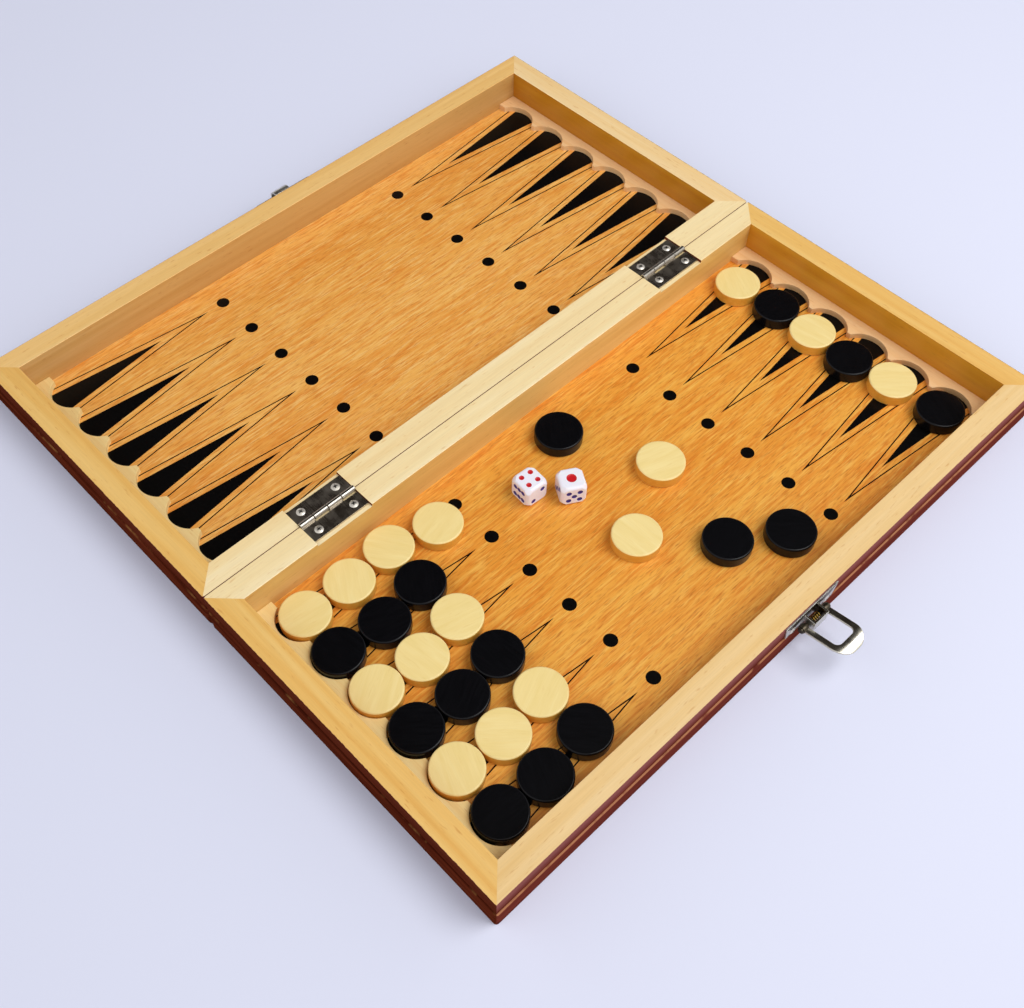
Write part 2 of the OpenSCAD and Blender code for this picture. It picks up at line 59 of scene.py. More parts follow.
def addNode(tree, kind, links=None, stops=None, **settings):
    # adds a shader node: its settings, colour stops, and what its sockets take
    node = tree.nodes.new("ShaderNode" + kind)
    for name, value in settings.items():
        setattr(node, name, value)
    if stops:
        elements = node.color_ramp.elements
        elements.remove(elements[1])
        elements[0].position, elements[0].color = stops[0][0], linear(stops[0][1])
        for place, colour in stops[1:]:
            elements.new(place).color = linear(colour)
    for socket, value in (links or {}).items():
        if isinstance(value, bpy.types.NodeSocket):
            tree.links.new(value, node.inputs[socket])
        else:
            node.inputs[socket].default_value = value
    return node


def newMaterial(name):
    material = bpy.data.materials.new(name)
    material.use_nodes = True
    material.node_tree.nodes.clear()
    return material, material.node_tree


def finishMaterial(tree, links):
    shader = addNode(tree, "BsdfPrincipled", links)
    addNode(tree, "OutputMaterial", {"Surface": shader.outputs[0]})


def perMm(x, y, z):
    # mapping scale for a pattern whose cells are x by y by z millimetres
    return (1000 / x, 1000 / y, 1000 / z)


def mergedCopy(node):
    # a CAD node's loose triangles, joined and with its flat faces whole
    mesh = bmesh.new()
    mesh.from_mesh(nodes[node].data)
    bmesh.ops.remove_doubles(mesh, verts=mesh.verts, dist=2e-6)
    bmesh.ops.dissolve_limit(mesh, angle_limit=math.radians(0.4),
                             verts=mesh.verts, edges=mesh.edges)
    return mesh


def islandBoxes(node):
    # lowest and highest corner of each separate solid of a node
    mesh, seen, boxes = mergedCopy(node), set(), []
    for start in mesh.verts:
        if start in seen:
            continue
        seen.add(start)
        grown, island = [start], []
        while grown:
            vert = grown.pop()
            island.append(vert.co.copy())
            for edge in vert.link_edges:
                other = edge.other_vert(vert)
                if other not in seen:
                    seen.add(other)
                    grown.append(other)
        boxes.append((Vector([min(c[i] for c in island) for i in range(3)]),
                      Vector([max(c[i] for c in island) for i in range(3)])))
    mesh.free()
    return boxes


def softenEdges(mesh, offset, segments=2, chosen=None, angle=28):
    # rounds the edges sharper than an angle, or only those that chosen() picks
    edges = [e for e in mesh.edges if e.is_manifold
             and abs(e.calc_face_angle_signed()) > math.radians(angle)
             and (chosen is None or chosen(e))]
    bmesh.ops.bevel(mesh, geom=edges, offset=offset, offset_type="OFFSET", affect="EDGES",
                    segments=segments, profile=0.5, material=-1, clamp_overlap=True)


def finishPiece(mesh, name, body, materials, replaced=(), smoothAngle=32):
    # turns a bmesh into a piece that rides on a body and stands for CAD nodes
    data = bpy.data.meshes.new(name)
    mesh.to_mesh(data)
    mesh.free()
    for polygon in data.polygons:
        polygon.use_smooth = True
    data.set_sharp_from_angle(angle=math.radians(smoothAngle))
    for material in materials:
        data.materials.append(material)
    piece = bpy.data.objects.new(name, data)
    bpy.context.scene.collection.objects.link(piece)
    even = piece.modifiers.new("evenNormals", "WEIGHTED_NORMAL")
    even.keep_sharp = True
    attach(piece, body)
    if replaced:
        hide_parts(*replaced)


def carve(mesh, tool, operation="DIFFERENCE"):
    # cuts one bmesh with another and gives back the result
    pair = []
    for part in (mesh, tool):
        data = bpy.data.meshes.new("carving")
        part.to_mesh(data)
        part.free()
        pair.append(bpy.data.objects.new("carving", data))
        bpy.context.scene.collection.objects.link(pair[-1])
    cut = pair[0].modifiers.new("cut", "BOOLEAN")
    cut.operation, cut.object, cut.solver = operation, pair[1], "EXACT"
    graph = bpy.context.evaluated_depsgraph_get()
    result = bmesh.new()
    result.from_mesh(pair[0].evaluated_get(graph).to_mesh())
    for part in pair:
        bpy.data.meshes.remove(part.data)
    return result


def joinInto(whole, part):
    # adds one bmesh to another and gives back the vertices it has there
    data = bpy.data.meshes.new("joining")
    part.to_mesh(data)
    part.free()
    before = len(whole.verts)
    whole.from_mesh(data)
    bpy.data.meshes.remove(data)
    whole.verts.ensure_lookup_table()
    return whole.verts[before:]


def lathe(profile, steps):
    # spins a profile of (radius, height) points round Z into a closed shape
    mesh = bmesh.new()
    verts = [mesh.verts.new((r, 0, z)) for r, z in profile]
    edges = [mesh.edges.new(pair) for pair in zip(verts, verts[1:])]
    bmesh.ops.spin(mesh, geom=verts + edges, cent=(0, 0, 0), axis=(0, 0, 1), dvec=(0, 0, 0),
                   angle=2 * math.pi, steps=steps, use_merge=True)
    bmesh.ops.remove_doubles(mesh, verts=mesh.verts, dist=1e-7)
    bmesh.ops.recalc_face_normals(mesh, faces=mesh.faces)
    return mesh


# camera

cameraView = {
    "place": (0.145435, -0.21728, 0.36644),
    "turn": (33.586, 0.257, 46.541),
    "lens": 41.70,
    "shift": (0.0278, 0.0358),
}
cameraData = bpy.data.cameras.new("camera")
cameraData.lens = cameraView["lens"]
cameraData.sensor_width = 36
cameraData.shift_x, cameraData.shift_y = cameraView["shift"]
camera = bpy.data.objects.new("camera", cameraData)
camera.location = cameraView["place"]
camera.rotation_euler = [math.radians(a) for a in cameraView["turn"]]
bpy.context.scene.collection.objects.link(camera)
bpy.context.scene.camera = camera
bpy.context.scene.view_settings.view_transform = "Standard"

# the open case, in metres: fold line, outer sides, rim and playing surface
trays = {
    "foldX": -0.072575,
    "side": 0.145,
    "rim": 0.0185,
    "panelTop": 0.0033,
}


# woods

bleedLine = {"ragged": 0.5 * mm, "starts": 0.05 * mm, "full": 0.15 * mm, "tone": "#5A2E26"}


def limewood(name, tones, along="y", grainAttribute=None, shift=(0, 0, 0), roughness=0.42,
             stainBleed=False, flecks=0.5, figure=(5, 150), fibres=0.04):
    # basswood, planed and clear lacquered: pale and close-grained, with a faint long
    # figure, hair-fine fibres and a few short brown flecks
    material, tree = newMaterial(name)
    if grainAttribute:
        place = addNode(tree, "Attribute", attribute_name=grainAttribute).outputs["Vector"]
    else:
        place = addNode(tree, "TexCoord").outputs["Object"]

    def cells(across, length):
        return perMm(length, across, across) if along == "x" else perMm(across, length, across)

    broad = addNode(tree, "Mapping", {"Vector": place, "Location": shift,
                                      "Scale": cells(*figure)})
    band = addNode(tree, "TexNoise", {"Vector": broad.outputs[0], "Scale": 1, "Detail": 3,
                                      "Roughness": 0.55, "Distortion": 0.5})
    tint = addNode(tree, "ValToRGB", {"Fac": band.outputs["Fac"]},
                   stops=[(0.3, tones[0]), (0.5, tones[1]), (0.7, tones[2])])
    thin = addNode(tree, "Mapping", {"Vector": place, "Scale": cells(0.4, 11)})
    fibre = addNode(tree, "TexNoise", {"Vector": thin.outputs[0], "Scale": 1, "Detail": 2})
    fibreShade = addNode(tree, "MapRange", {"Value": fibre.outputs["Fac"], "From Min": 0.3,
                                            "From Max": 0.7, "To Min": 1 - fibres,
                                            "To Max": 1 + fibres * 0.7})
    grained = addNode(tree, "VectorMath", {0: tint.outputs["Color"], "Scale":
                                           fibreShade.outputs[0]}, operation="SCALE")
    short = addNode(tree, "Mapping", {"Vector": place, "Scale": cells(0.7, 4.5)})
    fleck = addNode(tree, "TexNoise", {"Vector": short.outputs[0], "Scale": 1, "Detail": 1})
    fleckMask = addNode(tree, "MapRange", {"Value": fleck.outputs["Fac"], "From Min": 0.66,
                                           "From Max": 0.8, "To Min": 0, "To Max": flecks})
    colour = addNode(tree, "Mix", {0: fleckMask.outputs[0], 6: grained.outputs[0],
                                   7: linear(tones[3])}, data_type="RGBA")
    result = colour.outputs[2]
    if stainBleed:
        # the outside's stain creeps a hair over the rim's outer arris, in a ragged line
        axes = addNode(tree, "SeparateXYZ", {0: place})
        centred = addNode(tree, "Math", {0: axes.outputs[0], 1: trays["foldX"]},
                          operation="SUBTRACT")
        outX = addNode(tree, "Math", {0: centred.outputs[0]}, operation="ABSOLUTE")
        outY = addNode(tree, "Math", {0: axes.outputs[1]}, operation="ABSOLUTE")
        out = addNode(tree, "Math", {0: outX.outputs[0], 1: outY.outputs[0]},
                      operation="MAXIMUM")
        ragged = addNode(tree, "TexNoise", {"Vector": place, "Scale": 1 / (1.43 * mm),
                                            "Detail": 3})
        reach = addNode(tree, "Math", {0: ragged.outputs["Fac"], 1: bleedLine["ragged"],
                                       2: out.outputs[0]}, operation="MULTIPLY_ADD")
        bleed = addNode(tree, "MapRange", {"Value": reach.outputs[0],
                                           "From Min": trays["side"] + bleedLine["starts"],
                                           "From Max": trays["side"] + bleedLine["full"]})
        edge = addNode(tree, "Mix", {0: bleed.outputs[0], 6: result,
                                     7: linear(bleedLine["tone"])}, data_type="RGBA")
        result = edge.outputs[2]
    sheen = addNode(tree, "MapRange", {"Value": band.outputs["Fac"],
                                       "To Min": roughness - 0.06, "To Max": roughness + 0.06})
    bump = addNode(tree, "Bump", {"Height": fibre.outputs["Fac"], "Strength": 0.35,
                                  "Distance": grainHeight})
    finishMaterial(tree, {"Base Color": result, "Roughness": sheen.outputs[0],
                          "Normal": bump.outputs[0], "Coat Weight": 0.12,
                          "Coat Roughness": 0.3})
    return material


def beech(name, tones):
    # steamed beech veneer under clear lacquer: warm orange-tan, long soft bands,
    # and the short dark dashes that mark cut rays
    material, tree = newMaterial(name)
    place = addNode(tree, "TexCoord").outputs["Object"]
    broad = addNode(tree, "Mapping", {"Vector": place, "Scale": perMm(15, 240, 15)})
    band = addNode(tree, "TexNoise", {"Vector": broad.outputs[0], "Scale": 1, "Detail": 3,
                                      "Roughness": 0.6, "Distortion": 0.35})
    tint = addNode(tree, "ValToRGB", {"Fac": band.outputs["Fac"]},
                   stops=[(0.32, tones[0]), (0.48, tones[1]), (0.66, tones[2])])
    result, fine = tint.outputs["Color"], None
    # long fibres, paler hairs between them, then the ray dashes
    for cell, reach, strength, tone in (((1.0, 17), (0.42, 0.68), 0.8, tones[3]),
                                        ((0.7, 11), (0.5, 0.7), 0.8, tones[5]),
                                        ((0.34, 4.2), (0.52, 0.74), 0.75, tones[4])):
        drawn = addNode(tree, "Mapping", {"Vector": place, "Scale":
                                          perMm(cell[0], cell[1], cell[0])})
        fine = addNode(tree, "TexNoise", {"Vector": drawn.outputs[0], "Scale": 1,
                                          "Detail": 2, "Distortion": 0.2})
        mask = addNode(tree, "MapRange", {"Value": fine.outputs["Fac"], "From Min": reach[0],
                                          "From Max": reach[1], "To Max": strength})
        result = addNode(tree, "Mix", {0: mask.outputs[0], 6: result, 7: linear(tone)},
                         data_type="RGBA").outputs[2]
    bump = addNode(tree, "Bump", {"Height": fine.outputs["Fac"], "Strength": 0.3,
                                  "Distance": grainHeight})
    finishMaterial(tree, {"Base Color": result, "Roughness": 0.4,
                          "Normal": bump.outputs[0], "Coat Weight": 0.12,
                          "Coat Roughness": 0.25})
    return material


# heights on the outside moulding: each pair is where a change of tone starts and is full; the
# band's and the bead's lighter tones are painted sheen
moulding = {
    "paintedBandSheen": (10.2 * mm, 16.5 * mm),
    "paintedBeadSheen": (9.6 * mm, 9.4 * mm),
    "lineFoot": (9.1 * mm, 9.3 * mm),
    "lineTop": (9.55 * mm, 9.48 * mm),
}


def mahoganyStain(name, tones, along, rubAndSheen):
    # red-brown stain and lacquer over basswood: dark streaks along the rail, a painted sheen on
    # the upper band and the bead, and along the bead's upper shoulder a thin golden line that is
    # both rubbed-through stain and painted highlight
    material, tree = newMaterial(name)
    place = addNode(tree, "TexCoord").outputs["Object"]
    scale = perMm(34, 1.1, 1.1) if along == "x" else perMm(1.1, 34, 1.1)
    longer = addNode(tree, "Mapping", {"Vector": place, "Scale": scale})
    grain = addNode(tree, "TexNoise", {"Vector": longer.outputs[0], "Scale": 1, "Detail": 4})
    tint = addNode(tree, "ValToRGB", {"Fac": grain.outputs["Fac"]},
                   stops=[(0.3, tones[0]), (0.5, tones[1]), (0.72, tones[2])])
    height = addNode(tree, "SeparateXYZ", {0: place}).outputs[2]
    masks = {}
    for change, most in (("paintedBandSheen", 0.85), ("paintedBeadSheen", 0.16 * rubAndSheen),
                         ("lineFoot", 1), ("lineTop", 1)):
        start, full = moulding[change]
        masks[change] = addNode(tree, "MapRange", {"Value": height, "From Min": start,
                                                   "From Max": full, "To Max": most}).outputs[0]
    paintedSheen = addNode(tree, "Math", {0: masks["paintedBandSheen"], 1: masks["paintedBeadSheen"]},
                   operation="MAXIMUM")
    withPaintedSheen = addNode(tree, "Mix", {0: paintedSheen.outputs[0], 6: tint.outputs["Color"],
                                  7: linear(tones[4])}, data_type="RGBA")
    line = addNode(tree, "Math", {0: masks["lineFoot"], 1: masks["lineTop"]},
                   operation="MULTIPLY")
    worn = addNode(tree, "TexNoise", {"Vector": place, "Scale": 1 / (6.25 * mm), "Detail": 3})
    wornMask = addNode(tree, "MapRange", {"Value": worn.outputs["Fac"],
                                          "From Min": 0.62 - 0.3 * rubAndSheen,
                                          "From Max": 0.8 - 0.3 * rubAndSheen, "To Max": 0.8})
    rubbedAndLitLine = addNode(tree, "Math", {0: line.outputs[0], 1: wornMask.outputs[0]},
                     operation="MULTIPLY")
    colour = addNode(tree, "Mix", {0: rubbedAndLitLine.outputs[0], 6: withPaintedSheen.outputs[2],
                                   7: linear(tones[3])}, data_type="RGBA")
    bump = addNode(tree, "Bump", {"Height": grain.outputs["Fac"], "Strength": 0.4,
                                  "Distance": 0.04 * mm})
    # the lacquer's own gloss is turned off; its sheen is painted into the colour above
    finishMaterial(tree, {"Base Color": colour.outputs[2], "Roughness": 0.42,
                          "Normal": bump.outputs[0], "Specular IOR Level": 0})
    return material


def blackInk(name):
    # screen-printed black ink: dense, satin, with a faint orange-peel
    material, tree = newMaterial(name)
    place = addNode(tree, "TexCoord").outputs["Object"]
    peel = addNode(tree, "TexNoise", {"Vector": place, "Scale": 1 / (1.11 * mm), "Detail": 2})
    tint = addNode(tree, "ValToRGB", {"Fac": peel.outputs["Fac"]},
                   stops=[(0.35, "#060505"), (0.7, "#0B0A0A")])
    bump = addNode(tree, "Bump", {"Height": peel.outputs["Fac"], "Strength": 0.15,
                                  "Distance": 0.02 * mm})
    finishMaterial(tree, {"Base Color": tint.outputs["Color"], "Roughness": 0.3,
                          "Normal": bump.outputs[0], "Specular IOR Level": 0.12})
    return material


def brownSquares(name):
    # brown ink printed over veneer: the grain still shows through it
    material, tree = newMaterial(name)
    place = addNode(tree, "TexCoord").outputs["Object"]
    longer = addNode(tree, "Mapping", {"Vector": place, "Scale": perMm(0.9, 24, 0.9)})
    grain = addNode(tree, "TexNoise", {"Vector": longer.outputs[0], "Scale": 1, "Detail": 4})
    tint = addNode(tree, "ValToRGB", {"Fac": grain.outputs["Fac"]},
                   stops=[(0.3, "#3F1E12"), (0.5, "#56301E"), (0.72, "#6B4029")])
    finishMaterial(tree, {"Base Color": tint.outputs["Color"], "Roughness": 0.4,
                          "Coat Weight": 0.12, "Coat Roughness": 0.25})
    return material


railTones = {
    "hinge": ("#F1D49B", "#F4DCA6", "#F8E3B3", "#DCAE6E"),
    "latch": ("#E2B975", "#E8C384", "#ECCB92", "#C88B43"),
    "strike": ("#E6B568", "#ECBF75", "#F0C782", "#CC893B"),
    "end": ("#E2AC57", "#E8B865", "#ECC274", "#C58134"),
    "farEnd": ("#E9BF7C", "#EFCB8E", "#F3D49E", "#CF9550"),
}
# the tray's inner walls take darker, more saturated tones than the rims: painted shade
shadedWallTones = {
    "hinge": ("#D4A658", "#DDB265", "#E3BC73", "#B57C36"),
    "latch": ("#C69955", "#CDA362", "#D3AC6F", "#AB7234"),
    "strike": ("#C69955", "#CDA362", "#D3AC6F", "#AB7234"),
    "end": ("#CF8A1E", "#D69524", "#DCA02E", "#A96A14"),
    "farEnd": ("#BE7A12", "#C58616", "#CB901D", "#9A5C0C"),
}


def grainWay(kind):
    return "x" if kind in ("end", "farEnd") else "y"


pale = {kind: limewood("basswood_" + kind, tones, grainWay(kind), stainBleed=kind != "hinge")
        for kind, tones in railTones.items()}
shadedWall = {kind: limewood("basswood_painted_shade_wall_" + kind, tones, grainWay(kind), shift=(3, 5, 7))
        for kind, tones in shadedWallTones.items()}
# the side stain carries a strong painted sheen and highlight, the end stain little of either
stain = {"x": mahoganyStain("mahogany_stain_end", ("#40160C", "#562212", "#672E1B",
                                                   "#9A6A3C", "#5B281A"), "x", 0.2),
         "y": mahoganyStain("mahogany_stain_side", ("#4C180D", "#602113", "#722F1F",
                                                    "#B67E58", "#8C5450"), "y", 1),
         "seam": mahoganyStain("mahogany_stain_seam", ("#5A2A10", "#6E3414", "#80401C",
                                                       "#9A6A3C", "#74381A"), "y", 0)}
# one veneer in two tones, the near panel's more orange: painted bounce light
playingBeechPaintedLight = {
    "near": beech("steamed_beech_near_painted_light", ("#E4942F", "#EA9F39", "#EEAB44", "#DD7E1F", "#B86417",
                                         "#F3BC58")),
    "far": beech("steamed_beech_far_painted_light", ("#E79D43", "#EDAA4E", "#F1B55B", "#E1892F", "#BE6D24",
                                       "#F6C574")),
}
stripTones = {
    "left": ("#ECC77E", "#F2D48E", "#F6E09F", "#CB934A"),
    "right": ("#E8B67A", "#EDC088", "#F1C996", "#C98E52"),
}
stripWood = {end: limewood("basswood_strip_" + end, tones, "x", shift=(1, 2, 9), roughness=0.5)
             for end, tones in stripTones.items()}
chessVeneer = limewood("basswood_veneer", ("#E6C992", "#EDD6A6", "#F2E0B8", "#C9A068"), "y",
                       shift=(9, 4, 1))
ink = blackInk("black_print")
squareInk = brownSquares("brown_print")
print("woods and prints made")

# case rails

rails = {
    "outerArris": 0.22 * mm,
    "seamArris": 0.12 * mm,
    "mitreArris": 0.04 * mm,
    "segments": 3,
    "seamWidth": 0.5 * mm,  # faces this near the fold are stained
    "seamFoot": 16 * mm,  # above this height the stain is the seam's
    "mortiseIn": 20 * mm,  # mortise ends lie further in than this
    "hingeHalf": 9.5 * mm,  # inside this from the fold, arrises are fine
    "rimSkin": 0.4 * mm,
    "mouldingDepth": 3.1 * mm,
    "mouldingTop": 17.9 * mm,
    "wallIn": 9 * mm,
    "wallTop": 17 * mm,
    "kinds": {"near_hinge_rail": "hinge", "far_hinge_rail": "hinge",
              "near_latch_rail": "latch", "far_strike_rail": "strike",
              "near_left_rail": "end", "near_right_rail": "end", "far_left_rail": "end",
              "far_right_rail": "farEnd"},
    "slots": {"hinge": "pale_rail", "latch": "outer_rail", "strike": "outer_rail",
              "end": "end_rail", "farEnd": "end_rail"},
}


def sideGap(point):
    # distance inwards from the nearer outer side, and from the fold
    across = abs(point.x - trays["foldX"])
    return trays["side"] - max(across, abs(point.y)), across


def railPiece(node):
    kind = rails["kinds"][node]
    mesh = mergedCopy(node)

    def rimEdge(edge):
        # which kind of rim edge this is: outer or tray side, seam and mortise, or mitre
        a, b = (v.co for v in edge.verts)
        if min(a.z, b.z) < trays["rim"] - 1e-5 or edge.calc_face_angle_signed() < 0:
            return ""
        if min(abs(a.x - b.x), abs(a.y - b.y)) > 0.5 * edge.calc_length():
            return "mitreArris"
        inHingeRail = kind == "hinge" and sideGap((a + b) / 2)[1] < rails["hingeHalf"]
        return "seamArris" if inHingeRail else "outerArris"

    def faceFinish(face):
        # 0 planed wood, 1 tray wall in painted shade, 2 stained outside with painted sheen, 3
        # stained seam and mortise ends
        middle, normal = face.calc_center_median(), face.normal
        gap, across = sideGap(middle)
        atSeam = across < rails["seamWidth"]
        mortiseEnd = abs(normal.y) > 0.9 and gap > rails["mortiseIn"]
        if kind == "hinge" and middle.z > rails["seamFoot"] and (atSeam or mortiseEnd):
            return 3
        onTop = middle.z > trays["rim"] - rails["rimSkin"] and gap > 0.5 * mm
        if onTop or normal.z < -0.99:
            return 0
        moulded = gap < rails["mouldingDepth"] and middle.z < rails["mouldingTop"]
        if moulded or gap < rails["rimSkin"] or atSeam:
            return 2
        upright = abs(normal.z) < 0.2 and middle.z < rails["wallTop"]
        return int(gap > rails["wallIn"] and upright)

    softenEdges(mesh, rails["outerArris"], rails["segments"],
                lambda e: rimEdge(e) == "outerArris", 60)
    for arris in ("seamArris", "mitreArris"):
        softenEdges(mesh, rails[arris], 1, lambda e: rimEdge(e) == arris, 60)
    for face in mesh.faces:
        face.material_index = faceFinish(face)
    along = grainWay(kind)
    body = "near_tray" if node.startswith("near") else "far_tray"
    finishPiece(mesh, node + "_wood", body,
                [pale[kind], shadedWall[kind], stain[along], stain["seam"]], [node])


for node in rails["kinds"]:
    railPiece(node)
print("rails made")

# panels, prints and scalloped strips

strips = {"arris": 0.22 * mm, "segments": 2, "arrisAbove": 1 * mm}


def paint(node, material):
    nodes[node].data.materials.clear()
    nodes[node].data.materials.append(material)


for side in ("near", "far"):
    paint(side + "_playing_panel", playingBeechPaintedLight[side])
    paint(side + "_printed_points", ink)
    paint(side + "_chess_panel", chessVeneer)
    paint(side + "_dark_squares", squareInk)
    for end in ("left", "right"):
        node = side + "_" + end + "_scallop"
        mesh = mergedCopy(node)
        top = trays["panelTop"] + strips["arrisAbove"]
        softenEdges(mesh, strips["arris"], strips["segments"],
                    lambda e: min(v.co.z for v in e.verts) > top, 50)
        finishPiece(mesh, node + "_strip", side + "_tray", [stripWood[end]],
                    [node])
print("panels, prints and strips made")


# metals

def nickel(name, tone, roughness, lines):
    # nickel-plated pressed steel: bright, with fine rolling lines and cloudy smudges
    material, tree = newMaterial(name)
    place = addNode(tree, "TexCoord").outputs["Object"]
    rolled = addNode(tree, "Mapping", {"Vector": place, "Scale": perMm(*lines)})
    line = addNode(tree, "TexNoise", {"Vector": rolled.outputs[0], "Scale": 1, "Detail": 2})
    cloud = addNode(tree, "TexNoise", {"Vector": place, "Scale": 1 / (4.17 * mm), "Detail": 3})
    both = addNode(tree, "Math", {0: line.outputs["Fac"], 1: 0.5, 2: cloud.outputs["Fac"]},
                   operation="MULTIPLY_ADD")
    rough = addNode(tree, "MapRange", {"Value": both.outputs[0], "From Min": 0.5,
                                       "From Max": 1.0, "To Min": roughness * 0.7,
                                       "To Max": roughness * 1.4})
    bump = addNode(tree, "Bump", {"Height": line.outputs["Fac"], "Strength": 0.1,
                                  "Distance": 0.01 * mm})
    finishMaterial(tree, {"Base Color": linear(tone), "Metallic": 1.0,
                          "Roughness": rough.outputs[0], "Normal": bump.outputs[0]})
    return material


leafNickel = nickel("nickel_leaf", "#BDB3A4", 0.27, (9, 0.25, 9))
barrelNickel = nickel("nickel_barrel", "#ABA59A", 0.24, (2, 6, 2))
screwNickel = nickel("nickel_screw", "#DAD4C8", 0.46, (1, 1, 1))
plateNickel = nickel("nickel_plate", "#C9C6BE", 0.34, (2, 2, 2))
ringNickel = nickel("nickel_sheet", "#CFCABB", 0.2, (6, 0.3, 6))
# a dark nickel for hollows, pins and eyes: painted shade and painted dark reflection
shadedNickel = nickel("nickel_painted_shade", "#4E473B", 0.38, (2, 2, 2))
springSteel = nickel("spring_wire", "#C9A24C", 0.28, (0.5, 0.5, 0.5))

# screws

screw = {
    "radius": 1.7 * mm,
    "dome": 0.5 * mm,
    "shank": 0.85 * mm,
    "length": 7 * mm,
    "crossLength": 2.3 * mm,
    "crossWidth": 0.56 * mm,
    "crossDepth": 0.9 * mm,
    "crossTaper": (0.45, 0.5),
    "crossReach": 1.4 * mm,
    "point": 1.2 * mm,
    "steps": 40,
}


def screwMesh():
    r, dome = screw["radius"], screw["dome"]
    ball = (r * r + dome * dome) / (2 * dome)
    rim = math.asin(r / ball)
    arc = [(ball * math.sin(rim * (1 - i / 8)), dome - ball + ball * math.cos(rim * (1 - i / 8)))
           for i in range(9)]
    neck = screw["radius"] - screw["shank"]
    mesh = lathe([(0, -screw["length"]), (screw["shank"], -screw["length"] + screw["point"]),
                  (screw["shank"], -neck)] + arc, screw["steps"])
    for turn in (0, math.pi / 2):
        bar = bmesh.new()
        bmesh.ops.create_cube(bar, size=1)
        bmesh.ops.scale(bar, verts=bar.verts, vec=(screw["crossLength"], screw["crossWidth"],
                                                   2 * screw["crossDepth"]))
        for vert in bar.verts:
            if vert.co.z < 0:
                vert.co.x *= screw["crossTaper"][0]
                vert.co.y *= screw["crossTaper"][1]
        bmesh.ops.transform(bar, matrix=Matrix.Translation((0, 0, dome)) @
                            Matrix.Rotation(turn, 4, "Z"), verts=bar.verts)
        mesh = carve(mesh, bar)
    for face in mesh.faces:
        # what lies below the dome is the recess, given the dark nickel: painted shade
        middle = face.calc_center_median()
        dip = dome - ball + math.sqrt(ball * ball - middle.xy.length_squared) - middle.z
        face.material_index = int(middle.z > dome - 1.1 * mm and dip > 0.03 * mm
                                  and middle.xy.length < screw["crossReach"])
    return mesh


oneScrew = screwMesh()


def placeScrews(node, body, outward, turns):
    mesh = bmesh.new()
    for (low, high), turn in zip(islandBoxes(node), turns):
        seat = (low + high) / 2
        axis = [abs(c) for c in outward].index(1)
        edge = high if outward[axis] > 0 else low
        seat[axis] = edge[axis] - outward[axis] * screw["dome"]
        upright = Vector(outward).to_track_quat("Z", "Y").to_matrix().to_4x4()
        bmesh.ops.transform(mesh, verts=joinInto(mesh, oneScrew.copy()),
                            matrix=Matrix.Translation(seat) @ upright
                            @ Matrix.Rotation(math.radians(turn), 4, "Z"))
    finishPiece(mesh, node + "_cross_headed", body, [screwNickel, shadedNickel],
                [node], 40)


placeScrews("near_hinge_screws", "near_tray", (0, 0, 1), (12, 58, 35, 80))
placeScrews("far_hinge_screws", "far_tray", (0, 0, 1), (25, 70, 5, 44))
placeScrews("latch_screws", "near_tray", (1, 0, 0), (20, 66))
placeScrews("strike_screws", "far_tray", (-1, 0, 0), (48, 10))
oneScrew.free()
print("screws made")

# hinges and latch

metalWork = {
    "leafArris": 0.12 * mm,
    "knuckleArris": 0.2 * mm,
    "plateArris": 0.13 * mm,
    "hingeAxis": (-0.072575, 0.01865),
    "barrel": 1.18 * mm,
    "packedBarrel": 1.45 * mm,
    "barrelSkin": 0.03 * mm,
}


def hingeArm(point):
    # from the hinge pin's middle line out to a point
    axisX, axisZ = metalWork["hingeAxis"]
    return Vector((point.x - axisX, 0, point.z - axisZ))


def hingeLeaf(node, body):
    mesh, barrel, packed = mergedCopy(node), metalWork["barrel"], metalWork["packedBarrel"]
    for vert in mesh.verts:
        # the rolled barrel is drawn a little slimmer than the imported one
        arm = hingeArm(vert.co)
        if abs(arm.length - packed) < metalWork["barrelSkin"]:
            vert.co -= arm * (1 - barrel / packed)

    def knuckleEnd(edge):
        a, b = (v.co for v in edge.verts)
        return abs(a.y - b.y) < 0.01 * mm and all(
            abs(hingeArm(c).length - barrel) < metalWork["barrelSkin"] for c in (a, b))

    softenEdges(mesh, metalWork["knuckleArris"], 3, knuckleEnd)
    softenEdges(mesh, metalWork["leafArris"], 2, lambda e: all(
        hingeArm(v.co).length > barrel + 0.1 * mm for v in e.verts))
    for face in mesh.faces:
        reach = hingeArm(face.calc_center_median()).length
        face.material_index = int(reach < barrel + 0.05 * mm)
    finishPiece(mesh, node + "_plated", body, [leafNickel, barrelNickel], [node])


for side in ("left", "right"):
    for half in ("near", "far"):
        hingeLeaf(side + "_hinge_" + half + "_leaf", half + "_tray")
    # the pins take the dark nickel: painted shade
    paint(side + "_hinge_pin", shadedNickel)

# the latch's loop: a flat stamped ring whose end bends down, on two rolled eyes;
# rise is its tilt at rest in degrees, and the bracket's inside is back, front, half width
loop = {
    "pivot": (0.075025, 0.0035, 0.0124),
    "rise": 10,
    "halfHole": 4.7 * mm,
    "arm": 2.4 * mm,
    "reach": 13.3 * mm,
    "end": 4.5 * mm,
    "tipRadius": 5.8 * mm,
    "holeRadius": 2 * mm,
    "sheet": 0.9 * mm,
    "arris": 0.24 * mm,
    "bendIn": 0.6 * mm,
    "bendRadius": 8 * mm,
    "bendSteps": 13,
    "eye": 1.5 * mm,
    "eyeArris": 0.2 * mm,
    "eyeLap": 0.25 * mm,
    "bore": 0.85 * mm,
    "bracketInside": (0.6 * mm, 4.5 * mm, 3.1 * mm),
}


def arcPoints(centre, radius, start, end, steps=8):
    return [(centre[0] + radius * math.cos(math.radians(start + (end - start) * i / steps)),
             centre[1] + radius * math.sin(math.radians(start + (end - start) * i / steps)))
            for i in range(steps + 1)]


